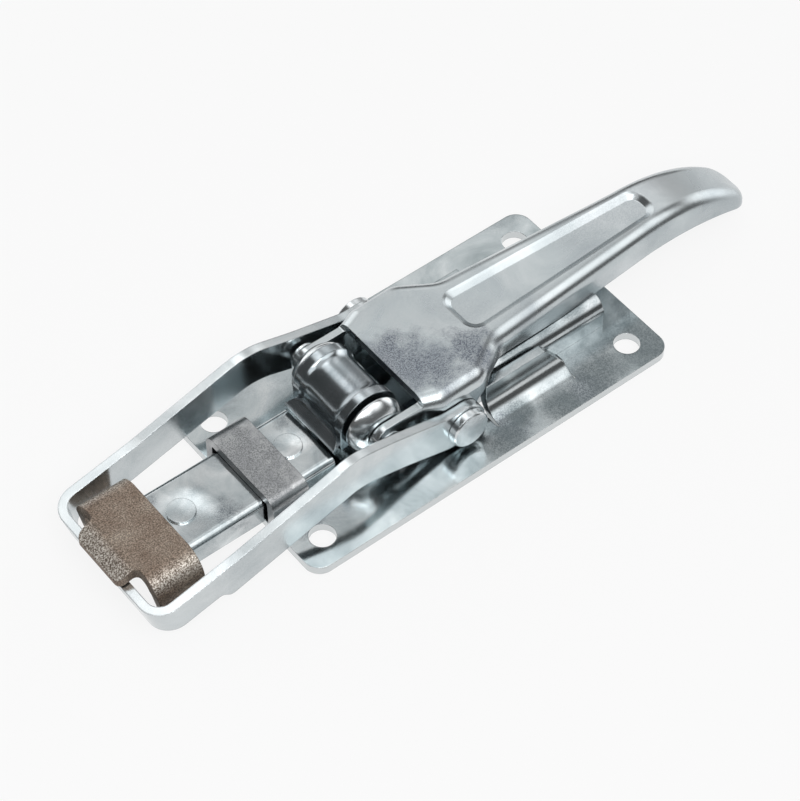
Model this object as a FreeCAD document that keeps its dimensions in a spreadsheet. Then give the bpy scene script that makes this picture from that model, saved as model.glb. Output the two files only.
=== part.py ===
import FreeCAD, Part
import math
import os
from FreeCAD import Placement, Rotation, Vector

# Over-centre latch for a trailer tailgate.
# A lever handle turns on a pin above a four-hole base plate and pulls a flat bail,
# whose closed front end lies behind a hooked keeper that is welded to the other panel.
# A channel-shaped bolt slides under a strap and reaches under the keeper.
# Origin: centre of the bolt holes on the underside of the base plate.
# +X runs to the tip of the handle, +Z out of the plate. Lengths are in millimetres.

SIZES = {
    # base plate, with its window and the two flaps turned up beside the window
    "plate_length": 140.0,
    "plate_width": 75.0,
    "plate_thick": 3.0,
    "plate_corner": 5.5,
    "hole_inset": 10.0,
    "hole_radius": 4.25,
    "window_front": 7.0,
    "window_rear": 38.5,
    "window_half": 29.0,
    "window_corner": 2.0,
    "flap_outer": 21.5,
    "flap_bend": 7.5,
    "flap_height": 12.3,
    "flap_gap": 0.6,
    "flap_top_length": 23.0,
    # strap over the sliding bolt
    "strap_length": 13.4,
    "strap_outer": 17.0,
    "strap_top": 15.3,
    "strap_thick": 3.0,
    "strap_bend": 4.0,
    # sliding bolt
    "bolt_outer": 12.8,
    "bolt_thick": 2.0,
    "bolt_bend": 2.4,
    "bolt_length": 61.0,
    "bolt_tail": 12.8,
    "bolt_clearance": 0.35,
    "button_radius": 4.5,
    "button_height": 0.7,
    "button_gap": 0.1,
    "bolt_travel": 16.6,
    # handle pivot and the bracket that carries it
    "pivot_place": -29.5,
    "pivot_height": 17.8,
    "pin_radius": 3.5,
    "pin_head_radius": 4.5,
    "pin_head_height": 1.7,
    "pin_tail_radius": 4.0,
    "pin_tail_height": 0.9,
    "running_clearance": 0.05,
    "side_clearance": 0.35,
    "hood_radius": 10.2,
    "hood_lead": 0.8,
    "hood_rise": 2.2,
    "hood_half": 8.85,
    "hood_thick": 2.5,
    "ear_thick": 3.0,
    "ear_proud": 0.4,
    "bracket_length": 36.0,
    "bracket_web": 2.5,
    "bracket_tail_height": 9.0,
    "bush_radius": 5.9,
    # rear channel under the handle
    "channel_outer": 17.3,
    "channel_thick": 3.0,
    "channel_height": 11.2,
    "channel_bend": 6.0,
    "channel_front": -1.0,
    "channel_rear": 59.0,
    # handle, pressed from one sheet
    "sheet": 3.0,
    "handle_bend": 5.0,
    "handle_front": -16.0,
    "handle_top": 26.2,
    "handle_front_drop": 0.7,
    "cheek_at_pivot": 20.8,
    "cheek_at_link": 23.4,
    "eye_radius": 5.2,
    "shoulder_place": 5.5,
    "neck_place": 17.5,
    "neck_half": 15.7,
    "grip_end": 84.0,
    "grip_half": 10.9,
    "nose_half": 9.7,
    "tip_place": 129.5,
    "tip_corner": 8.0,
    "nose_radius": 62.0,
    "nose_start": 86.0,
    "skirt_height": 14.5,
    "skirt_front_height": 17.4,
    "skirt_nose_radius": 110.0,
    "panel_front": 12.0,
    "panel_rear": 91.0,
    "panel_front_half": 9.2,
    "panel_rear_half": 6.4,
    "panel_depth": 1.6,
    "panel_slope": 2.4,
    "panel_rim": 0.8,
    # link pivot that joins the bail to the handle
    "link_place": -4.8,
    "link_height": 12.0,
    "link_radius": 4.0,
    "link_head_radius": 6.6,
    "link_head_height": 2.9,
    "link_inner_head_radius": 4.9,
    "link_inner_head_height": 1.4,
    "link_head_gap": 0.15,
    # bail
    "bail_thick": 3.0,
    "bail_gap": 0.3,
    "bail_front": -120.0,
    "bail_lean": 0.27,
    "bail_spread": 1.0,
    "bail_corner": 8.0,
    "bail_sweep": 30.0,
    "bail_eye": 7.4,
    "bail_front_bottom": -0.5,
    "bail_front_height": 10.5,
    "bail_arch_place": -47.0,
    "bail_arch_top": 28.9,
    "bail_arch_height": 13.8,
    "bail_bow_place": -90.0,
    "bail_bow_top": 16.9,
    "bail_step_place": -96.5,
    "bail_step": 3.2,
    # keeper
    "keeper_thick": 4.0,
    "keeper_outer": 21.3,
    "keeper_bend": 8.0,
    "keeper_over_bolt": 0.35,
    "keeper_front": -114.4,
    "keeper_rear": -98.0,
    "keeper_slant": 1.8,
    "lip_half": 11.0,
    "lip_overhang": 1.2,
    "lip_end_top": 13.2,
    "lip_end_bottom": 10.8,
    "lip_corner": 2.6,
    "notch_radius": 2.0,
}

doc = FreeCAD.newDocument("latch")
sheet = doc.addObject("Spreadsheet::Sheet", "sizes")
for row, (alias, number) in enumerate(SIZES.items(), start=1):
    sheet.set("A%d" % row, alias)
    sheet.set("B%d" % row, "%g" % number)
    sheet.setAlias("B%d" % row, alias)
doc.recompute()

parts = []


def size(alias):
    return float(getattr(sheet, alias))


# Outlines with rounded corners

def corner(point, before, after, radius):
    """Start, middle and end of the arc that rounds a corner of an outline."""
    to_before = (before - point).normalize()
    to_after = (after - point).normalize()
    half = to_before.getAngle(to_after) / 2
    run = radius / math.tan(half)
    centre = point + (to_before + to_after).normalize() * (radius / math.sin(half))
    middle = centre + (point - centre).normalize() * radius
    return point + to_before * run, middle, point + to_after * run


def outline(points):
    """Edges of a closed outline. A point is (x, y) or (x, y, corner radius)."""
    places = [Vector(p[0], p[1], 0) for p in points]
    radii = [p[2] if len(p) > 2 else 0 for p in points]
    count = len(points)
    arcs = []
    for i in range(count):
        if radii[i]:
            arcs.append(corner(places[i], places[i - 1], places[(i + 1) % count], radii[i]))
        else:
            arcs.append((places[i], None, places[i]))
    edges = []
    for i in range(count):
        start, middle, end = arcs[i]
        if middle is not None:
            edges.append(Part.Arc(start, middle, end))
        following = arcs[(i + 1) % count][0]
        if end.distanceToPoint(following) > 1e-6:
            edges.append(Part.LineSegment(end, following))
    return edges


def mirrored(points):
    """A half outline listed on the side of +Y, completed by its mirror image."""
    other = [(p[0], -p[1]) + tuple(p[2:]) for p in reversed(points)]
    return list(points) + other


def inset(points, distance):
    """The same outline moved inwards; the points run clockwise."""
    places = [Vector(p[0], p[1], 0) for p in points]
    count = len(points)
    moved = []
    for i in range(count):
        along_in = (places[i] - places[i - 1]).normalize()
        along_out = (places[(i + 1) % count] - places[i]).normalize()
        normal_in = Vector(along_in.y, -along_in.x, 0)
        normal_out = Vector(along_out.y, -along_out.x, 0)
        shift = (normal_in + normal_out) * (distance / (1 + normal_in.dot(normal_out)))
        point = (places[i].x + shift.x, places[i].y + shift.y)
        if len(points[i]) > 2:
            turn = along_in.cross(along_out).z
            radius = points[i][2] - distance if turn < 0 else points[i][2] + distance
            point = point + (radius,)
        moved.append(point)
    return moved


# Sketch planes: a sketch on XZ has its normal along -Y, one on YZ along +X

def new_body(label):
    body = doc.addObject("PartDesign::Body", label)
    body.Label = label
    parts.append(body)
    return body


def new_sketch(body, plane_role, edges, offset=0.0):
    sketch = body.newObject("Sketcher::SketchObject", body.Label + "_sketch")
    plane = next(f for f in body.Origin.OriginFeatures if f.Role == plane_role)
    sketch.AttachmentSupport = [(plane, "")]
    sketch.MapMode = "FlatFace"
    sketch.AttachmentOffset = Placement(Vector(0, 0, offset), Rotation())
    for edge in edges:
        sketch.addGeometry(edge, False)
    return sketch


def new_pad(body, sketch, length, both_sides=False, backwards=False):
    pad = body.newObject("PartDesign::Pad", body.Label + "_pad")
    pad.Profile = sketch
    pad.setExpression("Length", length)
    if both_sides:
        pad.SideType = "Symmetric"
    pad.Reversed = backwards
    doc.recompute()
    return pad


def new_cut(body, sketch, both_sides=True, backwards=False, length="2 * sizes.plate_length"):
    """A pocket that has to take something away."""
    before = body.Shape.Volume
    pocket = body.newObject("PartDesign::Pocket", body.Label + "_pocket")
    pocket.Profile = sketch
    pocket.setExpression("Length", length)
    if both_sides:
        pocket.SideType = "Symmetric"
    pocket.Reversed = backwards
    doc.recompute()
    if pocket.Shape.Volume > before - 1e-3:
        raise RuntimeError(pocket.Label + " cuts nothing")
    return pocket


def prism(points, plane, low, high, lean=0.0):
    """A solid between two levels of the axis that is square to the plane, leaning along X."""
    wire = Part.Wire([edge.toShape() for edge in outline(points)])
    face = Part.Face(wire)
    if plane == "XY":
        face.translate(Vector(-lean * low, 0, low))
        return face.extrude(Vector(-lean * (high - low), 0, high - low))
    if plane == "XZ":
        face.rotate(Vector(0, 0, 0), Vector(1, 0, 0), 90)
        face.translate(Vector(0, low, 0))
        return face.extrude(Vector(0, high - low, 0))
    face.rotate(Vector(0, 0, 0), Vector(0, 0, 1), 90)
    face.rotate(Vector(0, 0, 0), Vector(0, 1, 0), 90)
    face.translate(Vector(low, 0, 0))
    return face.extrude(Vector(high - low, 0, 0))


def cross_bore(place, height, radius):
    """A cylinder across the latch, longer than the latch is wide."""
    reach = size("plate_width")
    return Part.makeCylinder(radius, 2 * reach, Vector(place, -reach, height), Vector(0, 1, 0))


def add_shape(label, shape):
    feature = doc.addObject("Part::Feature", label)
    feature.Label = label
    feature.Shape = shape
    parts.append(feature)
    return feature


def inverted_channel(half, bottom, top, thick, bend):
    """Section of a sheet folded down at both sides, with the outer bend radius given."""
    outer = [(-half, bottom), (-half, top, bend), (half, top, bend), (half, bottom)]
    inner = [
        (half - thick, bottom),
        (half - thick, top - thick, bend - thick),
        (thick - half, top - thick, bend - thick),
        (thick - half, bottom),
    ]
    return outer + inner


# Places shared by several pieces

plate_top = size("plate_thick")
plate_front = -size("plate_length") / 2
strap_rear = plate_front + size("strap_length")
bolt_top = size("strap_top") - size("strap_thick") - size("bolt_clearance")
bolt_rear = strap_rear + size("bolt_tail")
bolt_front = bolt_rear - size("bolt_length")
rear_button = strap_rear + size("button_gap") + size("button_radius")
front_button = plate_front - size("bolt_travel") - size("button_gap") - size("button_radius")
hood_place = size("pivot_place") - size("hood_lead")
hood_height = size("pivot_height") + size("hood_rise")
ear_outer = size("hood_half") + size("ear_thick")
cheek_inner = size("cheek_at_pivot") - size("sheet")
link_inner = size("cheek_at_link") - size("sheet")
bail_inner = size("cheek_at_link") + size("bail_gap")
bail_outer = bail_inner + size("bail_thick")
bail_wide = bail_outer + size("bail_spread")
keeper_top = bolt_top + size("keeper_over_bolt") + size("keeper_thick")
bail_bar = size("bail_front") + size("bail_thick")


def base_plate():
    body = new_body("base_plate")
    half_long = size("plate_length") / 2
    half_wide = size("plate_width") / 2
    radius = size("plate_corner")
    plan = [
        (-half_long, half_wide, radius),
        (half_long, half_wide, radius),
        (half_long, -half_wide, radius),
        (-half_long, -half_wide, radius),
    ]
    new_pad(body, new_sketch(body, "XY_Plane", outline(plan)), "sizes.plate_thick")
    holes = []
    inset_by = size("hole_inset")
    for side_x in (-1, 1):
        for side_y in (-1, 1):
            centre = Vector(side_x * (half_long - inset_by), side_y * (half_wide - inset_by), 0)
            holes.append(Part.Circle(centre, Vector(0, 0, 1), size("hole_radius")))
    new_cut(body, new_sketch(body, "XY_Plane", holes))
    front = size("window_front")
    rear = size("window_rear")
    half = size("window_half")
    round_corner = size("window_corner")
    window = [
        (front, half, round_corner),
        (rear, half, round_corner),
        (rear, -half, round_corner),
        (front, -half, round_corner),
    ]
    new_cut(body, new_sketch(body, "XY_Plane", outline(window)))
    # the flaps, as a bent section along X, then trimmed at both ends
    outer = size("flap_outer")
    thick = size("plate_thick")
    top = plate_top + size("flap_height")
    bend = size("flap_bend")
    root = outer + bend + thick
    flap = [
        (root, plate_top),
        (outer, plate_top, bend),
        (outer, top),
        (outer - thick, top),
        (outer - thick, 0, bend + thick),
        (root, 0),
    ]
    other = [(-p[0],) + tuple(p[1:]) for p in flap]
    gap = size("flap_gap")
    section = new_sketch(body, "YZ_Plane", outline(flap) + outline(other), front + gap)
    new_pad(body, section, "sizes.window_rear - sizes.window_front - 2 * sizes.flap_gap")
    slope_start = front + gap + size("flap_top_length")
    trim = [
        (slope_start, top + 1),
        (slope_start, top),
        (rear - gap, plate_top + thick, thick),
        (rear + 1, plate_top + thick),
        (rear + 1, top + 1),
    ]
    new_cut(body, new_sketch(body, "XZ_Plane", outline(trim)))
    return body


def strap():
    body = new_body("bolt_strap")
    section = inverted_channel(
        size("strap_outer"), plate_top, size("strap_top"), size("strap_thick"), size("strap_bend")
    )
    sketch = new_sketch(body, "YZ_Plane", outline(section), plate_front)
    new_pad(body, sketch, "sizes.strap_length")
    return body


def slide_bolt():
    body = new_body("slide_bolt")
    section = inverted_channel(
        size("bolt_outer"), plate_top + size("side_clearance"), bolt_top, size("bolt_thick"), size("bolt_bend")
    )
    new_pad(body, new_sketch(body, "YZ_Plane", outline(section), bolt_front), "sizes.bolt_length")
    buttons = []
    for place in (rear_button, front_button):
        buttons.append(Part.Circle(Vector(place, 0, 0), Vector(0, 0, 1), size("button_radius")))
    sketch = new_sketch(body, "XY_Plane", buttons, bolt_top - size("bolt_thick") / 2)
    new_pad(body, sketch, "sizes.button_height + sizes.bolt_thick / 2")
    return body


def ear_outline(radius):
    """Side view of the pivot ears: a round head that overhangs the path of the bolt."""
    clear = bolt_top + size("button_height") + size("side_clearance")
    foot = bolt_rear + size("bolt_travel") + 2 * size("side_clearance")
    tail = hood_place - radius + size("bracket_length")
    return [
        (hood_place - radius, clear),
        (hood_place - radius, hood_height + radius, radius),
        (hood_place + radius, hood_height + radius, radius),
        (hood_place + radius, plate_top + size("bracket_tail_height"), radius / 2),
        (tail, plate_top + size("bracket_tail_height"), radius / 3),
        (tail, plate_top),
        (foot, plate_top),
        (foot, clear, size("bracket_web")),
    ]


def pivot_bracket():
    """Two ears and the web between them, folded from one strip."""
    half = ear_outer
    web_top = plate_top + size("bracket_web")
    top = hood_height + size("hood_radius") + size("ear_proud")
    inner = size("hood_half")
    section = [
        (-half, plate_top),
        (-half, top),
        (-inner, top),
        (-inner, web_top),
        (inner, web_top),
        (inner, top),
        (half, top),
        (half, plate_top),
    ]
    front = hood_place - size("hood_radius") - size("ear_proud")
    solid = prism(section, "YZ", front, front + size("bracket_length"))
    side = ear_outline(size("hood_radius") + size("ear_proud"))
    solid = solid.common(prism(side, "XZ", -half, half))
    bore = cross_bore(size("pivot_place"), size("pivot_height"), size("pin_radius") + size("running_clearance"))
    return add_shape("pivot_bracket", solid.cut(bore))


def pivot_hood():
    """Strip bent over the pin between the ears."""
    body = new_body("pivot_hood")
    radius = size("hood_radius")
    thick = size("hood_thick")
    top = hood_height + radius
    bottom = bolt_top + size("button_height") + size("side_clearance")
    rear_bottom = plate_top + size("bracket_web")
    section = [
        (hood_place - radius, bottom),
        (hood_place - radius, top, radius),
        (hood_place + radius, top, radius),
        (hood_place + radius, rear_bottom),
        (hood_place + radius - thick, rear_bottom),
        (hood_place + radius - thick, top - thick, radius - thick),
        (hood_place - radius + thick, top - thick, radius - thick),
        (hood_place - radius + thick, bottom),
    ]
    sketch = new_sketch(body, "XZ_Plane", outline(section))
    new_pad(body, sketch, "2 * (sizes.hood_half - sizes.running_clearance)", both_sides=True)
    return body


def turned(label, profile, place, height):
    """A solid turned about a line across the latch; the profile holds (y, radius)."""
    body = new_body(label)
    points = [(y, radius) + tuple(rest) for y, radius, *rest in profile]
    sketch = new_sketch(body, "YZ_Plane", outline(points))
    sketch.AttachmentOffset = Placement(Vector(0, height, place), Rotation())
    turn = body.newObject("PartDesign::Revolution", label + "_turn")
    turn.Profile = sketch
    turn.ReferenceAxis = (sketch, ["H_Axis"])
    turn.Angle = 360
    doc.recompute()
    return body


def pivot_pin():
    shank = size("pin_radius")
    head = size("pin_head_radius")
    tail = size("pin_tail_radius")
    seat = size("cheek_at_pivot") + size("side_clearance")
    head_end = seat + size("pin_head_height")
    tail_end = -seat - size("pin_tail_height")
    profile = [
        (tail_end, 0),
        (tail_end, tail - 1.0),
        (tail_end + 0.6, tail),
        (-seat, tail),
        (-seat, shank),
        (seat, shank),
        (seat, head),
        (head_end - 0.9, head),
        (head_end, head - 1.6),
        (head_end, 0),
    ]
    return turned("pivot_pin", profile, size("pivot_place"), size("pivot_height"))


def pivot_bush(label, side):
    bore = size("pin_radius") + size("running_clearance")
    start = side * ear_outer
    end = side * (cheek_inner - size("side_clearance"))
    profile = [
        (start, bore),
        (start, size("bush_radius")),
        (end, size("bush_radius")),
        (end, bore),
    ]
    return turned(label, profile, size("pivot_place"), size("pivot_height"))


def link_rivet(label, side):
    shank = size("link_radius")
    head = size("link_head_radius")
    inner_head = size("link_inner_head_radius")
    gap = size("link_head_gap")
    seat = bail_outer + gap
    end = seat + size("link_head_height")
    inner_seat = link_inner - gap
    inner_end = inner_seat - size("link_inner_head_height")
    edge = size("link_head_height") / 6
    profile = [
        (side * end, 0),
        (side * end, head - edge),
        (side * (end - edge), head),
        (side * seat, head),
        (side * seat, shank),
        (side * inner_seat, shank),
        (side * inner_seat, inner_head),
        (side * inner_end, inner_head),
        (side * inner_end, 0),
    ]
    return turned(label, profile, size("link_place"), size("link_height"))


def rear_channel():
    body = new_body("rear_channel")
    section = inverted_channel(
        size("channel_outer"),
        plate_top,
        plate_top + size("channel_height"),
        size("channel_thick"),
        size("channel_bend"),
    )
    sketch = new_sketch(body, "YZ_Plane", outline(section), size("channel_front"))
    new_pad(body, sketch, "sizes.channel_rear - sizes.channel_front")
    return body


# Handle

def handle_plan(front):
    """Plan outline, clockwise seen from above."""
    bend = size("handle_bend")
    pivot_side = size("cheek_at_pivot")
    link_side = size("cheek_at_link")
    joggle = size("handle_front")
    half = [
        (front, pivot_side),
        (joggle - 1, pivot_side, bend),
        (joggle + 1.1 * bend, link_side, bend),
        (size("shoulder_place"), link_side, 1.6 * bend),
        (size("neck_place"), size("neck_half"), 2 * bend),
        (size("grip_end"), size("grip_half"), 8 * bend),
        (size("tip_place"), size("nose_half"), size("tip_corner")),
    ]
    return mirrored(half)


def falling_corner(start, level, radius, end):
    """Corner point and slope of a line that turns down from a level through an arc to x = end."""
    angle = math.asin((end - start) / radius)
    place = start + radius * math.tan(angle / 2)
    return (place, level, radius), math.tan(angle)


def handle_top_line(drop, grow):
    """Top of the handle seen from the side, from front to past the tip."""
    top = size("handle_top") - drop
    radius = size("nose_radius") - drop
    bend_point, slope = falling_corner(size("nose_start"), top, radius, size("tip_place"))
    beyond = size("tip_place") + 1 + grow
    end = (beyond, top - slope * (beyond - bend_point[0]))
    level = size("shoulder_place")
    front = (size("pivot_place") - 4 * size("handle_bend"), top - size("handle_front_drop"))
    near = (size("handle_front") - 1, top - size("handle_front_drop"), 60)
    return [front, near, (level, top, 60), bend_point, end]


def handle_loaf(distance, front, grow):
    """Filled form of the handle. The outer one has round edges; one moved inwards has bevelled edges."""
    plan = inset(handle_plan(front), distance) if distance else handle_plan(front)
    line = handle_top_line(distance, grow)
    line[0] = (plan[0][0] - 1, line[0][1])
    side = line + [(line[-1][0], -20), (line[0][0], -20)]
    wide = size("plate_width")
    solid = prism(plan, "XY", -20, size("handle_top") + 5).common(prism(side, "XZ", -wide, wide))
    rounding = size("handle_bend") - distance
    chosen = []
    for edge in solid.Edges:
        box = edge.BoundBox
        flat_front = box.XMax < plan[0][0] + 0.01
        upright = box.XLength < 0.01 and box.YLength < 0.01
        straight_across = box.XLength < 0.01 and box.XMin < size("tip_place") - distance - 0.01
        if box.ZMin > 0 and not (flat_front or upright or straight_across):
            chosen.append(edge)
    return solid.makeChamfer(0.75 * rounding, chosen) if distance else solid.makeFillet(rounding, chosen)


def handle_side():
    """Side outline that trims the cheeks, the skirt and the front edge."""
    pivot_x = size("pivot_place")
    pivot_z = size("pivot_height")
    eye = size("eye_radius")
    link_x = size("link_place")
    link_z = size("link_height")
    lobe = size("bail_eye") - size("side_clearance")
    front = size("handle_front")
    skirt = size("skirt_height")
    front_skirt = size("skirt_front_height")
    above = size("handle_top") + 5
    bend_point, slope = falling_corner(size("nose_start"), skirt, size("skirt_nose_radius"), size("tip_place"))
    beyond = size("tip_place") + 1
    neck = size("neck_place")
    shoulder = size("shoulder_place") + 4
    return [
        (front, above),
        (beyond, above),
        (beyond, skirt - slope * (beyond - bend_point[0])),
        bend_point,
        (2.5 * neck, skirt, 20),
        (neck, front_skirt, 4),
        (shoulder, front_skirt + 2.2, 3),
        (link_x + lobe, link_z + 3.5, 3),
        (link_x + lobe, link_z - lobe, lobe),
        (link_x - lobe, link_z - lobe, 5),
        (pivot_x + eye + 2, pivot_z - eye, 5),
        (pivot_x - eye, pivot_z - eye, eye),
        (pivot_x - eye, pivot_z + eye, eye),
        (front, pivot_z + eye, 1),
    ]


def panel_outline(shrink):
    """Plan of the sunk panel on the grip, long and tapered with round ends."""
    front = size("panel_front") + shrink
    rear = size("panel_rear") - shrink
    front_half = size("panel_front_half") - shrink
    rear_half = size("panel_rear_half") - shrink
    half = [(front, front_half, 0.55 * front_half), (rear, rear_half, 0.85 * rear_half)]
    return mirrored(half)


def flat_wire(points, level):
    wire = Part.Wire([edge.toShape() for edge in outline(points)])
    wire.translate(Vector(0, 0, level))
    return wire


def handle():
    thick = size("sheet")
    depth = size("panel_depth")
    top = size("handle_top")
    start = size("pivot_place") - 3 * size("handle_bend")
    outer = handle_loaf(0, start, 0)
    inner = handle_loaf(thick, start - 4, 0)
    below = prism(panel_outline(-0.3), "XY", top - thick - depth, top - thick + 0.5)
    inner = inner.cut(below)
    rim = size("panel_rim")
    steps = [(-rim, 0.4), (rim, -0.4), (size("panel_slope"), -depth)]
    recess = Part.makeLoft([flat_wire(panel_outline(shrink), top + rise) for shrink, rise in steps], True, True)
    shell = outer.cut(inner).cut(recess)
    wide = size("plate_width")
    shell = shell.common(prism(handle_side(), "XZ", -wide, wide))
    mouth = mirrored([(start - thick, cheek_inner), (size("handle_front"), cheek_inner)])
    shell = shell.cut(prism(mouth, "XY", -10, 2 * top))
    clearance = size("running_clearance")
    shell = shell.cut(cross_bore(size("pivot_place"), size("pivot_height"), size("pin_radius") + clearance))
    shell = shell.cut(cross_bore(size("link_place"), size("link_height"), size("link_radius") + clearance))
    return add_shape("handle", shell)


# Bail

def bail_plan():
    lean = size("bail_lean")
    front = size("bail_front") + lean * (size("bail_front_bottom") + size("bail_front_height"))
    rear = size("link_place") + size("bail_eye") + 12
    spread_start = size("pivot_place") + size("eye_radius")
    spread_end = size("bail_arch_place")
    half = [
        (front, bail_wide, size("bail_corner")),
        (spread_end, bail_wide, size("bail_sweep")),
        (spread_start, bail_outer, size("bail_sweep")),
        (rear, bail_outer),
    ]
    return mirrored(half)


def bail_side():
    eye = size("bail_eye")
    x = size("link_place")
    z = size("link_height")
    front = size("bail_front") - 2
    bottom = size("bail_front_bottom")
    arch_x = size("bail_arch_place")
    arch_top = size("bail_arch_top")
    arch_bottom = arch_top - size("bail_arch_height")
    step_x = size("bail_step_place")
    bow_x = size("bail_bow_place")
    bow_top = size("bail_bow_top")
    front_top = bottom + size("bail_front_height")
    rise = (bow_top - front_top) / (bow_x - front)
    step_z = bottom + rise * (step_x - front)
    step = size("bail_step")
    return [
        (front, bottom),
        (front, front_top),
        (bow_x, bow_top, 80),
        (arch_x, arch_top, 22),
        (x - 0.85 * eye, z + eye, 15),
        (x + eye, z + eye, eye),
        (x + eye, z - eye, eye),
        (x - 0.75 * eye, z - eye, 12),
        (arch_x + 2, arch_bottom, 20),
        (step_x + step, step_z - step + 0.6, 2.5),
        (step_x, step_z, 2.5),
    ]


def bail():
    plan = bail_plan()
    inner = inset(plan, size("bail_thick"))
    # the rear end is open: the inner outline reaches past it
    inner = [(p[0] + 4 * size("bail_thick"),) + tuple(p[1:]) if len(p) == 2 else p for p in inner]
    top = size("bail_arch_top") + 5
    lean = size("bail_lean")
    strip = prism(plan, "XY", -5, top, lean).cut(prism(inner, "XY", -6, top + 1, lean))
    wide = size("plate_width")
    strip = strip.common(prism(bail_side(), "XZ", -wide, wide))
    bore = cross_bore(size("link_place"), size("link_height"), size("link_radius") + size("running_clearance"))
    return add_shape("bail", strip.cut(bore))


# Keeper

def keeper():
    body = new_body("keeper")
    front = size("keeper_front")
    section = inverted_channel(
        size("keeper_outer"), 0, keeper_top, size("keeper_thick"), size("keeper_bend")
    )
    sketch = new_sketch(body, "YZ_Plane", outline(section), front)
    new_pad(body, sketch, "sizes.keeper_rear - sizes.keeper_front")
    # lip, bent down over the bar of the bail
    lip_front = size("bail_front") - size("lip_overhang")
    under = keeper_top - size("keeper_thick")
    end_top = size("lip_end_top")
    end_bottom = size("lip_end_bottom")
    hook = [
        (front + 2, keeper_top),
        (front - 1.5, keeper_top, 9),
        (lip_front, end_top, 0.6),
        (lip_front, end_bottom, 0.4),
        (bail_bar - 1.5, end_bottom + 0.6, 6),
        (front, under, 3),
        (front + 2, under),
    ]
    half = size("lip_half")
    notch = size("notch_radius")
    width = "2 * (sizes.lip_half + sizes.notch_radius)"
    new_pad(body, new_sketch(body, "XZ_Plane", outline(hook)), width, both_sides=True)
    wide = size("keeper_outer") + 5
    beyond = lip_front - 5
    for side in (1, -1):
        beside_lip = [
            (beyond, side * wide),
            (front, side * wide),
            (front, side * half, notch),
            (lip_front, side * half, size("lip_corner")),
            (lip_front, side * (half - 2 * size("lip_corner"))),
            (beyond, side * (half - 2 * size("lip_corner"))),
        ]
        new_cut(body, new_sketch(body, "XY_Plane", outline(beside_lip)))
    # the legs slant back, clear of the bar
    slant = [
        (front - 1, -1),
        (front + size("keeper_slant"), -1),
        (front + size("keeper_slant"), 0),
        (front, under - 2),
        (front - 1, under - 2),
    ]
    new_cut(body, new_sketch(body, "XZ_Plane", outline(slant)))
    return body


base_plate()
strap()
slide_bolt()
pivot_bracket()
pivot_hood()
pivot_bush("pivot_bush_left", 1)
pivot_bush("pivot_bush_right", -1)
pivot_pin()
rear_channel()
handle()
link_rivet("link_rivet_left", 1)
link_rivet("link_rivet_right", -1)
bail()
keeper()

doc.recompute()

for item in doc.Objects:
    if "Invalid" in item.State or "Error" in item.State:
        raise RuntimeError(item.Label + " did not compute")

for part in parts:
    shape = part.Shape
    if shape.isNull() or not shape.isValid() or len(shape.Solids) != 1:
        raise RuntimeError(part.Label + " is not one sound solid")

os.makedirs("parts", exist_ok=True)
for part in parts:
    part.Shape.exportStep("parts/" + part.Label + ".step")
    box = part.Shape.BoundBox
    print("%-18s %9.1f mm3  x %.1f..%.1f  y %.1f..%.1f  z %.1f..%.1f" % (
        part.Label, part.Shape.Volume, box.XMin, box.XMax, box.YMin, box.YMax, box.ZMin, box.ZMax))
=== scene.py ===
import math

import bmesh
import bpy
from mathutils import Matrix, Vector


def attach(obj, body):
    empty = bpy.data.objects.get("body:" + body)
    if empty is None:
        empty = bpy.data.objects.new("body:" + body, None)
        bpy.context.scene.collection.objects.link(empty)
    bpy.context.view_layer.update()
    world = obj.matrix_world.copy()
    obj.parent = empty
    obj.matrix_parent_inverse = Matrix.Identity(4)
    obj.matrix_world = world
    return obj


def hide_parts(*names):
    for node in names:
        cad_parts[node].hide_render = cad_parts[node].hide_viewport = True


# Trailer tailgate latch: zinc-plated pressings and a bare steel keeper.
# The pieces are the CAD nodes in their finishes. The hood and the two bushes get fuller forms here.

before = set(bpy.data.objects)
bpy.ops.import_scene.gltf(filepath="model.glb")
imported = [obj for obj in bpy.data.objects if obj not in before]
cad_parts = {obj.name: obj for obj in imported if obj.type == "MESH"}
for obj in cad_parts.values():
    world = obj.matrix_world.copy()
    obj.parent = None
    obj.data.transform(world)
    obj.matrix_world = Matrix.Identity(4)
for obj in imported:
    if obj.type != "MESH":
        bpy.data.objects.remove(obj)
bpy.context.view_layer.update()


def linear(code):
    """An sRGB hex colour as the linear colour that a shader reads."""
    channels = [int(code[i:i + 2], 16) / 255 for i in (1, 3, 5)]
    channels = [c / 12.92 if c <= 0.04045 else ((c + 0.055) / 1.055) ** 2.4 for c in channels]
    return (*channels, 1.0)


def mm(length):
    """Millimetres as metres."""
    return length / 1000


def per_metre(size_mm):
    """Texture scale that gives features of this size."""
    return 1000 / size_mm


def direction(azimuth, elevation):
    """The way from the latch to where these angles point, in degrees, with azimuth 0 at +X."""
    azimuth, elevation = math.radians(azimuth), math.radians(elevation)
    flat = math.cos(elevation)
    return Vector((flat * math.cos(azimuth), flat * math.sin(azimuth), math.sin(elevation)))


def empty_tree(owner):
    """The node tree of a new material or world, with no nodes in it."""
    owner.use_nodes = True
    owner.node_tree.nodes.clear()
    return owner.node_tree


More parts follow.
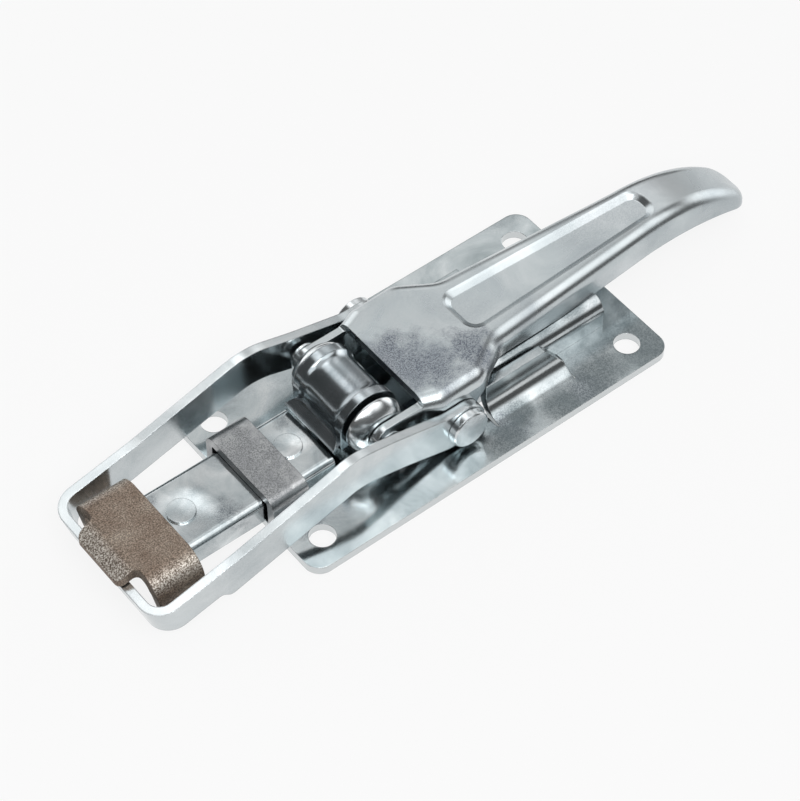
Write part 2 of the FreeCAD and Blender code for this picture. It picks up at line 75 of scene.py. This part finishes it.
def add(tree, kind, inputs=None, stops=None, **settings):
    """Adds a node. An input is a number, a colour, another node or one of its outputs.

    stops are the places of a colour ramp, each with a colour or with a number for a grey.
    """
    made = tree.nodes.new(kind)
    for name, value in settings.items():
        setattr(made, name, value)
    for name, value in (inputs or {}).items():
        if isinstance(value, bpy.types.Node):
            value = next(output for output in value.outputs if output.enabled)
        if isinstance(value, bpy.types.NodeSocket):
            tree.links.new(value, made.inputs[name])
        else:
            made.inputs[name].default_value = value
    if stops:
        elements = made.color_ramp.elements
        while len(elements) < len(stops):
            elements.new(0.5)
        for element, (place, colour) in zip(elements, stops):
            element.position = place
            element.color = colour if isinstance(colour, tuple) else (colour, colour, colour, 1.0)
    return made


# Finishes. Real zinc crystals and mill scale are finer; these are as coarse as they need to show.

FROST_GRAIN_MM = 0.4
SCALE_GRAIN_MM = 0.48
# Dark grey of the darkened spots; on the channel's top it is painted shade
DARK_PATCH_GREY = linear("#697275")


def spots(tree, place, centres, ragged_mm):
    """One in the middle of each spot and nothing beyond its ragged edge.

    A centre is x, y, z and radius in mm. Noise adds to the distance from it, on average 0.85 of
    the radius, so the spot is full to about 0.4 of its radius and gone at 1.3.
    """
    noise, full, gone = 1.7, 1.25, 2.15    # in radii
    ripple = add(tree, "ShaderNodeTexNoise", {
        "Vector": place, "Scale": per_metre(ragged_mm), "Detail": 4.0, "Roughness": 0.6})
    found = 0.0
    for *centre, radius in centres:
        away = add(tree, "ShaderNodeVectorMath", {
            0: place, 1: tuple(map(mm, centre))}, operation="DISTANCE")
        ragged = add(tree, "ShaderNodeMath", {
            0: ripple, 1: mm(radius * noise), 2: away}, operation="MULTIPLY_ADD")
        inside = add(tree, "ShaderNodeMapRange", {
            "Value": ragged, "From Min": mm(radius * gone), "From Max": mm(radius * full)},
            interpolation_type="SMOOTHSTEP")
        found = add(tree, "ShaderNodeMath", {0: inside, 1: found}, operation="MAXIMUM")
    return found


def zinc_plating(name, shades, cloud_mm, rough, frost, wave_mm, wave_depth_mm, edge_mm=0.35,
                 frost_tint="#697076", frosted=(), darkened=(), dished=(), sides=None):
    """Bright zinc over steel: near-mirror metal, cloudy, with patches frosted by its crystals.

    shades are the dark, middle and light of the clouds. The sheet's own waves bend the reflections.
    frost is the strength of the patches of frost all over, which are larger than the clouds.
    frosted and darkened are spots of full strength, each x, y, z and radius in mm, and dished are
    hollows, with their depth as well. darkened spots turn the flat faces to a dark grey, which on
    the channel is painted shade. sides is the colour of upright faces, where that differs.
    """
    material = bpy.data.materials.new(name)
    tree = empty_tree(material)
    coords = add(tree, "ShaderNodeTexCoord")
    place = coords.outputs["Object"]
    upward = add(tree, "ShaderNodeSeparateXYZ", {"Vector": coords.outputs["Normal"]}).outputs["Z"]
    cloud = add(tree, "ShaderNodeTexNoise", {
        "Vector": place, "Scale": per_metre(cloud_mm), "Detail": 4.0, "Roughness": 0.55,
        "Distortion": 0.6})
    patch = add(tree, "ShaderNodeTexNoise", {
        "Vector": place, "Scale": per_metre(cloud_mm * 1.7), "Detail": 2.0, "Roughness": 0.5})
    grain = add(tree, "ShaderNodeTexNoise", {
        "Vector": place, "Scale": per_metre(FROST_GRAIN_MM), "Detail": 2.0, "Roughness": 0.6})
    wave = add(tree, "ShaderNodeTexNoise", {
        "Vector": place, "Scale": per_metre(wave_mm), "Detail": 1.5, "Roughness": 0.4})

    # Where the frost lies. Between its specks it tints the metal about half as much.
    where = add(tree, "ShaderNodeMapRange", {
        "Value": patch, "From Min": 0.44, "From Max": 0.60, "To Max": frost})
    if frosted:
        where = add(tree, "ShaderNodeMath", {
            0: where, 1: spots(tree, place, frosted, ragged_mm=6.0)}, operation="MAXIMUM")
    speck = add(tree, "ShaderNodeMapRange", {"Value": grain, "From Min": 0.42, "From Max": 0.60})
    between = add(tree, "ShaderNodeMapRange", {"Value": speck, "To Min": 0.52})
    tinted = add(tree, "ShaderNodeMath", {0: where, 1: between}, operation="MULTIPLY")

    # Colour: clouds, frost, then the darkened spots on the faces that lie flat, then the upright
    # faces
    dark, middle, light = map(linear, shades)
    plated = add(tree, "ShaderNodeValToRGB", {"Fac": cloud}, stops=[
        (0.30, dark), (0.48, middle), (0.72, light)])
    colour = add(tree, "ShaderNodeMix", {
        "Factor": tinted, "A": plated, "B": linear(frost_tint)}, data_type="RGBA")
    # Darkened spots turn flat faces towards a dark grey: painted shade on the channel under the
    # handle, darker patches on the plate
    if darkened:
        flat = add(tree, "ShaderNodeMapRange", {"Value": upward, "From Min": 0.5, "From Max": 0.9})
        grainy = add(tree, "ShaderNodeMapRange", {"Value": speck, "To Min": 0.65, "To Max": 0.95})
        darkening = add(tree, "ShaderNodeMath", {
            0: spots(tree, place, darkened, ragged_mm=9.0), 1: grainy}, operation="MULTIPLY")
        darkening = add(tree, "ShaderNodeMath", {0: darkening, 1: flat}, operation="MULTIPLY")
        colour = add(tree, "ShaderNodeMix", {
            "Factor": darkening, "A": colour, "B": DARK_PATCH_GREY}, data_type="RGBA")
    if sides:
        upright = add(tree, "ShaderNodeMapRange", {
            "Value": upward, "From Min": 0.7, "From Max": 0.2})
        colour = add(tree, "ShaderNodeMix", {
            "Factor": upright, "A": colour, "B": linear(sides)}, data_type="RGBA")

    # Gloss: duller in the dark clouds than in the light ones, and by 0.10 more in full frost
    gloss = add(tree, "ShaderNodeMapRange", {
        "Value": cloud, "From Min": 0.3, "From Max": 0.7,
        "To Min": rough * 1.3, "To Max": rough * 0.8})
    dull = add(tree, "ShaderNodeMath", {0: where, 1: 0.10, 2: gloss}, operation="MULTIPLY_ADD")

    # Relief, with heights in mm: broken edges, waves and hollows, then the fine pits of the frost
    edge = add(tree, "ShaderNodeBevel", {"Radius": mm(edge_mm)}, samples=4)
    height = add(tree, "ShaderNodeMath", {0: wave, 1: wave_depth_mm}, operation="MULTIPLY")
    for *centre, radius, depth in dished:
        away = add(tree, "ShaderNodeVectorMath", {
            0: place, 1: tuple(map(mm, centre))}, operation="DISTANCE")
        rise = add(tree, "ShaderNodeMapRange", {
            "Value": away, "From Max": mm(radius)}, interpolation_type="SMOOTHSTEP")
        height = add(tree, "ShaderNodeMath", {
            0: rise, 1: depth, 2: height}, operation="MULTIPLY_ADD")
    dents = add(tree, "ShaderNodeBump", {
        "Height": height, "Strength": 1.0, "Distance": mm(1), "Normal": edge})
    pitted = add(tree, "ShaderNodeMapRange", {"Value": where, "To Min": 0.35})
    pits = add(tree, "ShaderNodeBump", {
        "Height": grain, "Strength": pitted, "Distance": mm(0.02), "Normal": dents})

    metal = add(tree, "ShaderNodeBsdfPrincipled", {
        "Base Color": colour, "Metallic": 1.0, "Roughness": dull, "Normal": pits})
    add(tree, "ShaderNodeOutputMaterial", {"Surface": metal})
    return material


def bare_hot_rolled_steel():
    """Uncoated steel: brown mill scale with a light and dark grain, rubbed light on its bends, with
    painted highlight on their upper half and on the sloped front of its hooked end.
    """
    material = bpy.data.materials.new("bare hot rolled steel")
    tree = empty_tree(material)
    coords = add(tree, "ShaderNodeTexCoord")
    place = coords.outputs["Object"]
    facing = add(tree, "ShaderNodeSeparateXYZ", {"Vector": coords.outputs["Normal"]})
    upward, rearward = facing.outputs["Z"], facing.outputs["X"]
    scale = add(tree, "ShaderNodeTexNoise", {
        "Vector": place, "Scale": per_metre(9.0), "Detail": 3.0, "Roughness": 0.6})
    grit = add(tree, "ShaderNodeTexNoise", {
        "Vector": place, "Scale": per_metre(SCALE_GRAIN_MM), "Detail": 3.0, "Roughness": 0.75})

    brown = add(tree, "ShaderNodeValToRGB", {"Fac": scale}, stops=[
        (0.32, linear("#75665A")), (0.5, linear("#84776B")), (0.68, linear("#92877B"))])
    contrast = add(tree, "ShaderNodeValToRGB", {"Fac": grit}, stops=[
        (0.40, 0.50), (0.50, 0.92), (0.60, 1.6)])
    grained = add(tree, "ShaderNodeMix", {
        "Factor": 1.0, "A": brown, "B": contrast}, data_type="RGBA", blend_type="MULTIPLY")

    # Pale flecks of rubbed steel on the bends: wear, kept to their upper half as painted highlight
    # where light catches the bends
    flecks = add(tree, "ShaderNodeMapRange", {"Value": grit, "From Min": 0.46, "From Max": 0.62})
    off_the_flat = add(tree, "ShaderNodeMapRange", {
        "Value": upward, "From Min": 0.98, "From Max": 0.80})
    above_the_side = add(tree, "ShaderNodeMapRange", {
        "Value": upward, "From Min": 0.35, "From Max": 0.62})
    bend_wear_and_highlight = add(tree, "ShaderNodeMath", {
        0: off_the_flat, 1: above_the_side}, operation="MULTIPLY")
    bend_wear_and_highlight = add(tree, "ShaderNodeMath", {0: bend_wear_and_highlight, 1: flecks}, operation="MULTIPLY")

    # Paler flecks, less like a mirror, on the sloped front of the lip: wear, with painted highlight
    # on the face that the front softbox lights
    forward = add(tree, "ShaderNodeMapRange", {
        "Value": rearward, "From Min": -0.20, "From Max": -0.50})
    sloped = add(tree, "ShaderNodeMapRange", {
        "Value": upward, "From Min": 0.30, "From Max": 0.55})
    lip_wear_and_highlight = add(tree, "ShaderNodeMath", {0: forward, 1: sloped}, operation="MULTIPLY")
    lip_wear_and_highlight = add(tree, "ShaderNodeMath", {0: lip_wear_and_highlight, 1: flecks}, operation="MULTIPLY")
    wear_and_highlight = add(tree, "ShaderNodeMath", {0: bend_wear_and_highlight, 1: lip_wear_and_highlight}, operation="MAXIMUM")
    metallic = add(tree, "ShaderNodeMath", {0: lip_wear_and_highlight, 1: -0.55, 2: 0.75}, operation="MULTIPLY_ADD")

    colour = add(tree, "ShaderNodeMix", {
        "Factor": wear_and_highlight, "A": grained, "B": linear("#D8D4CC")}, data_type="RGBA")
    gloss = add(tree, "ShaderNodeMapRange", {"Value": wear_and_highlight, "To Min": 0.55, "To Max": 0.32})
    edge = add(tree, "ShaderNodeBevel", {"Radius": mm(0.6)}, samples=4)
    relief = add(tree, "ShaderNodeBump", {
        "Height": grit, "Strength": 1.0, "Distance": mm(0.03), "Normal": edge})
    steel = add(tree, "ShaderNodeBsdfPrincipled", {
        "Base Color": colour, "Metallic": metallic, "Roughness": gloss, "Normal": relief})
    add(tree, "ShaderNodeOutputMaterial", {"Surface": steel})
    return material


# Rolled sheet: broad clouds and shallow waves, light edges, and darker grey patches on its flat
# faces along its right side
plate_zinc = zinc_plating(
    "zinc on rolled plate", ("#9FA9AB", "#BFC7C9", "#DDE2E3"), cloud_mm=16, rough=0.14, frost=0.3,
    wave_mm=15, wave_depth_mm=0.16, edge_mm=0.5, sides="#CDD1D2",
    frosted=[(38, -34, 3, 8), (-62, -20, 3, 6), (10, -31, 3, 8)],
    darkened=[(64, -30, 3, 15), (48, -31, 3, 11), (28, -34, 3, 9), (4, -34, 3, 8), (16, -28, 3, 6)])

# Deep drawn sheet: satin all over, with a patch of dark frost on the yoke
handle_zinc = zinc_plating(
    "zinc on deep drawn sheet", ("#B6BEC1", "#C4CBCD", "#D3D8DA"), cloud_mm=22, rough=0.22,
    frost=0.25, wave_mm=16, wave_depth_mm=0.06, frost_tint="#646A74",
    frosted=[(-14, -3, 25, 14), (-4, -12, 24, 10), (8, -13, 24, 9)])

# The strap over the tongue: an even grey frost
strap_zinc = zinc_plating(
    "frosted zinc on folded strip", ("#A8AAAC", "#B9BBBC", "#CED0D0"), cloud_mm=7, rough=0.24,
    frost=0.4, wave_mm=6, wave_depth_mm=0.03, frost_tint="#737577", frosted=[(-70, 0, 12, 24)])

# The tongue: like a mirror, with frost near its two discs, which pressing left in shallow hollows
tongue_zinc = zinc_plating(
    "zinc on folded channel", ("#A9B3B6", "#C3CACC", "#E0E4E5"), cloud_mm=9, rough=0.11,
    frost=0.35, wave_mm=11, wave_depth_mm=0.20, frost_tint="#5C6369",
    frosted=[(-92, -1, 8, 4), (-100, 9, 8, 6), (-80, -8, 8, 6), (-52, -3, 8, 3), (-47, 9, 8, 5)],
    dished=[(-92, -2, 8, 13, 0.8), (-54, -2, 8, 12, 0.7)])

# Bracket and hood: smooth, and darker than the other zinc as painted shade, for the dark that they
# mirror among the parts around them
shaded_hood_zinc = zinc_plating(
    "smooth zinc on bent strip, darker as painted shade", ("#8C969A", "#A9B1B5", "#C9CFD2"), cloud_mm=14, rough=0.14,
    frost=0.6, wave_mm=12, wave_depth_mm=0.03)

# The channel under the handle: smooth, with painted shade and painted reflection of the handle's
# dark underside along the right edge of its top
channel_zinc = zinc_plating(
    "zinc on drawn channel", ("#9CA5A7", "#BCC3C5", "#DDE1E2"), cloud_mm=12, rough=0.12, frost=0.4,
    wave_mm=9, wave_depth_mm=0.10, darkened=[(24, -12, 15, 7), (36, -12, 15, 7), (48, -12, 15, 6)])

# The bail: light and nearly even, with edges that the rolling left round
strip_zinc = zinc_plating(
    "zinc on flat strip", ("#B2BBBE", "#C6CCCE", "#D9DDDE"), cloud_mm=24, rough=0.17, frost=0.2,
    wave_mm=22, wave_depth_mm=0.05, edge_mm=0.6)

# Pin, rivets and bushes: light satin from the lathe
turned_zinc = zinc_plating(
    "zinc on turned steel", ("#BFC5C8", "#D4D9DB", "#E8EBEC"), cloud_mm=8, rough=0.20, frost=0.2,
    wave_mm=5, wave_depth_mm=0.01)

FINISHES = {
    "base_plate": plate_zinc,
    "bolt_strap": strap_zinc,
    "slide_bolt": tongue_zinc,
    "pivot_bracket": shaded_hood_zinc,
    "pivot_hood": shaded_hood_zinc,
    "pivot_bush_left": turned_zinc,
    "pivot_bush_right": turned_zinc,
    "pivot_pin": turned_zinc,
    "link_rivet_left": turned_zinc,
    "link_rivet_right": turned_zinc,
    "rear_channel": channel_zinc,
    "handle": handle_zinc,
    "bail": strip_zinc,
    "keeper": bare_hot_rolled_steel(),
}
for node, finish in FINISHES.items():
    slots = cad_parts[node].data.materials
    slots.clear()
    slots.append(finish)


# Hood and bushes, all in millimetres until finish_piece

PIVOT = Vector((-29.5, 0, 17.8))          # middle of the pin
HOOD_CENTRE = Vector((-30.3, 0, 20.0))    # middle of the hood's bend


def finish_piece(form, name, material, stands_for):
    """Turns a form in millimetres into a piece that rides on the base and stands for a CAD node."""
    bmesh.ops.recalc_face_normals(form, faces=form.faces)
    bmesh.ops.scale(form, vec=(0.001, 0.001, 0.001), verts=form.verts)
    for face in form.faces:
        face.smooth = True
    mesh = bpy.data.meshes.new(name)
    form.to_mesh(mesh)
    form.free()
    mesh.set_sharp_from_angle(angle=math.radians(40))
    mesh.materials.append(material)
    piece = bpy.data.objects.new(name, mesh)
    bpy.context.collection.objects.link(piece)
    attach(piece, "base")
    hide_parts(stands_for)


def drum_bush(name, hand, stands_for):
    """Bush with a round shoulder as large as the ear beside it, that narrows towards the cheek.

    hand is 1 for the left bush and -1 for the right one.
    """
    bore, neck = 3.55, 5.8                         # radii
    inner, shoulder, cheek = 11.9, 12.95, 17.35    # along the pin, from its middle
    profile = (                                    # radius, and place along the pin
        (bore, inner), (neck, inner), (neck, shoulder), (9.3, shoulder), (9.7, 13.1),
        (9.85, 13.5), (9.75, 14.2), (9.4, 15.0), (8.9, 15.8), (8.3, 16.5), (7.6, 17.1),
        (7.2, cheek), (bore, cheek))
    forward, up = -0.6, 1.6    # how far the shoulder is off the pin's line; the cheek end is on it
    on_the_pin = 6.0           # all within this radius stays on that line
    form = bmesh.new()
    ring = [
        bmesh.ops.create_vert(form, co=(PIVOT.x + radius, hand * y, PIVOT.z))["vert"][0]
        for radius, y in profile]
    edges = [form.edges.new((ring[i - 1], ring[i])) for i in range(len(ring))]
    bmesh.ops.spin(
        form, geom=ring + edges, cent=PIVOT, axis=(0, 1, 0), angle=math.tau, steps=64,
        use_merge=True)
    for vert in form.verts:
        out = Vector((vert.co.x - PIVOT.x, 0, vert.co.z - PIVOT.z)).length
        lean = (cheek - abs(vert.co.y)) / (cheek - shoulder)
        if out > on_the_pin:
            bmesh.ops.translate(form, verts=[vert], vec=(forward * lean, 0, up * lean))
    finish_piece(form, name, turned_zinc, stands_for)


def hood_strip():
    """Strip bent over the pin, with low rims along its sides and a flared front foot."""
    radius, half_width, thick = 9.8, 8.83, 1.6
    rear_end = 5.6                   # height of the rear leg's lower end
    rim = 0.75                       # height of the rims
    foot_bend, foot_turn = 5.4, 75   # radius and degrees of the bend into the front foot
    foot_half_width = 12.2
    foot_height, foot_curve = 5.2, 1.6    # the foot widens over this height, slowly at first

    # The strip's side view, drawn by one point along its right edge
    form = bmesh.new()
    tip = bmesh.ops.create_vert(form, co=(HOOD_CENTRE.x + radius, -half_width, rear_end))["vert"]
    tip = bmesh.ops.extrude_vert_indiv(form, verts=tip)["verts"]
    bmesh.ops.translate(form, verts=tip, vec=(0, 0, HOOD_CENTRE.z - rear_end))
    foot_centre = (HOOD_CENTRE.x - radius - foot_bend, 0, HOOD_CENTRE.z)
    for centre, turn, steps in ((HOOD_CENTRE, -180, 32), (foot_centre, foot_turn, 12)):
        bent = bmesh.ops.spin(
            form, geom=tip, cent=centre, axis=(0, 1, 0), angle=math.radians(turn), steps=steps)
        tip = [item for item in bent["geom_last"] if isinstance(item, bmesh.types.BMVert)]

    # Then pulled across its width, with columns that are closer near the sides
    columns = [half_width * math.sin(math.radians(a)) for a in range(-90, 91, 10)]
    edges = list(form.edges)
    for before, after in zip(columns, columns[1:]):
        grown = bmesh.ops.extrude_edge_only(form, edges=edges)["geom"]
        edges = [item for item in grown if isinstance(item, bmesh.types.BMEdge)]
        bmesh.ops.translate(
            form, verts=[item for item in grown if isinstance(item, bmesh.types.BMVert)],
            vec=(0, after - before, 0))

    # The rims rise over the outer quarter of each half, and fade out where the foot gets wider
    for vert in list(form.verts):
        below = max(0.0, HOOD_CENTRE.z - vert.co.z)
        flare = min(1.0, below / foot_height) if vert.co.x < HOOD_CENTRE.x else 0.0
        lift = rim * max(0.0, abs(vert.co.y) / half_width * 4 - 3) ** 2 * (1 - flare)
        outward = vert.co - Vector((HOOD_CENTRE.x, vert.co.y, HOOD_CENTRE.z - below))
        bmesh.ops.translate(form, verts=[vert], vec=outward.normalized() * lift)
        wider = 1 + (foot_half_width / half_width - 1) * flare ** foot_curve
        bmesh.ops.scale(form, vec=(1, wider, 1), verts=[vert])
    bmesh.ops.recalc_face_normals(form, faces=form.faces)
    bmesh.ops.solidify(form, geom=list(form.faces), thickness=thick)
    finish_piece(form, "hood_strip", shaded_hood_zinc, "pivot_hood")


drum_bush("drum_left", 1, "pivot_bush_left")
drum_bush("drum_right", -1, "pivot_bush_right")
hood_strip()


# Studio. A brightness of 1 is white paper.

WHITE = linear("#FAFAFA")    # what the camera sees around the latch
DIM_ROOM = 0.11              # the rest of what the metal mirrors
PALE_WALLS = (               # azimuth from +X, elevation and half width in degrees, brightness
    (0, 90, 28, 0.70),
    (90, 64, 13, 1.10),
    (56, 53, 25, 0.60),
    (95, 15, 28, 1.4),
    (40, 32, 17, 0.5),
    (2, 8, 24, 1.9),
    (-52, 52, 24, 1.6),
)


def studio_floor():
    """Pale paper, white to the camera and in the metal, with a faint shadow, clear from below."""
    material = bpy.data.materials.new("pale studio floor")
    tree = empty_tree(material)
    path = add(tree, "ShaderNodeLightPath")
    seen = path.outputs["Is Camera Ray"]
    for ray in ("Is Glossy Ray", "Is Transmission Ray"):
        seen = add(tree, "ShaderNodeMath", {0: seen, 1: path.outputs[ray]}, operation="MAXIMUM")
    # What is seen is nine tenths glow and one tenth paper, which takes the shadow
    share = add(tree, "ShaderNodeMath", {0: seen, 1: 0.9}, operation="MULTIPLY")
    paper = add(tree, "ShaderNodeBsdfDiffuse", {"Color": linear("#E6E6E6")})
    glow = add(tree, "ShaderNodeEmission", {"Color": WHITE, "Strength": 1.0})
    above = add(tree, "ShaderNodeMixShader", {0: share, 1: paper, 2: glow})
    below = add(tree, "ShaderNodeBsdfTransparent")
    underside = add(tree, "ShaderNodeNewGeometry").outputs["Backfacing"]
    either = add(tree, "ShaderNodeMixShader", {0: underside, 1: above, 2: below})
    add(tree, "ShaderNodeOutputMaterial", {"Surface": either})
    # Large, and just under the latch, so that the two share no surface
    bpy.ops.mesh.primitive_plane_add(size=6.0, location=(0, 0, -mm(0.3)))
    floor = bpy.context.object
    floor.name = "floor"
    floor.data.materials.append(material)


def studio_world():
    """White to the camera; in the metal a dim room with the pale walls and ceiling listed above."""
    world = bpy.data.worlds.new("studio")
    tree = empty_tree(world)
    way = add(tree, "ShaderNodeTexCoord").outputs["Generated"]
    light = DIM_ROOM
    for azimuth, elevation, half_width, brightness in PALE_WALLS:
        # At full brightness to 0.45 of the half width, and gone at 1.35
        full, gone = (math.cos(math.radians(half_width * part)) for part in (0.45, 1.35))
        near = add(tree, "ShaderNodeVectorMath", {
            0: way, 1: direction(azimuth, elevation)}, operation="DOT_PRODUCT")
        wall = add(tree, "ShaderNodeMapRange", {
            "Value": near, "From Min": gone, "From Max": full}, interpolation_type="SMOOTHSTEP")
        light = add(tree, "ShaderNodeMath", {
            0: wall, 1: brightness, 2: light}, operation="MULTIPLY_ADD")
    room = add(tree, "ShaderNodeBackground", {"Color": light, "Strength": 1.0})
    white = add(tree, "ShaderNodeBackground", {"Color": WHITE, "Strength": 1.0})
    seen = add(tree, "ShaderNodeLightPath").outputs["Is Camera Ray"]
    either = add(tree, "ShaderNodeMixShader", {0: seen, 1: room, 2: white})
    add(tree, "ShaderNodeOutputWorld", {"Surface": either})
    bpy.context.scene.world = world


def softbox(name, place, wide, high, brightness):
    """A rectangular light aimed at the latch, whose face looks this bright in a mirror.

    A face as bright as white paper gives off pi watts for each square metre.
    """
    data = bpy.data.lights.new(name, "AREA")
    data.shape = "RECTANGLE"
    data.size = wide
    data.size_y = high
    data.energy = brightness * math.pi * wide * high
    lamp = bpy.data.objects.new(name, data)
    lamp.location = place
    lamp.rotation_euler = (-Vector(place)).to_track_quat("-Z", "Y").to_euler()
    bpy.context.collection.objects.link(lamp)


def camera():
    """The photograph's view, fitted to the four bolt holes."""
    target, distance = Vector((-0.00862, 0.00047, 0.0)), 0.84377
    back = direction(azimuth=-128.29, elevation=51.26)
    side = Vector((0, 0, 1)).cross(back).normalized()
    up = back.cross(side)
    data = bpy.data.cameras.new("camera")
    data.sensor_fit = "HORIZONTAL"
    data.sensor_width = 36.0
    data.lens = 122.48
    data.clip_start = 0.05
    data.clip_end = 20.0
    viewer = bpy.data.objects.new("camera", data)
    turn = Matrix((side, up, back)).transposed()
    viewer.matrix_world = Matrix.Translation(target + back * distance) @ turn.to_4x4()
    bpy.context.collection.objects.link(viewer)
    bpy.context.scene.camera = viewer


studio_floor()
studio_world()
softbox("front softbox", (-0.36, -0.94, 1.20), wide=1.00, high=0.80, brightness=4.2)
softbox("left softbox", (-0.92, -0.43, 1.02), wide=0.80, high=0.80, brightness=1.5)
camera()

scene = bpy.context.scene
scene.view_settings.view_transform = "Standard"
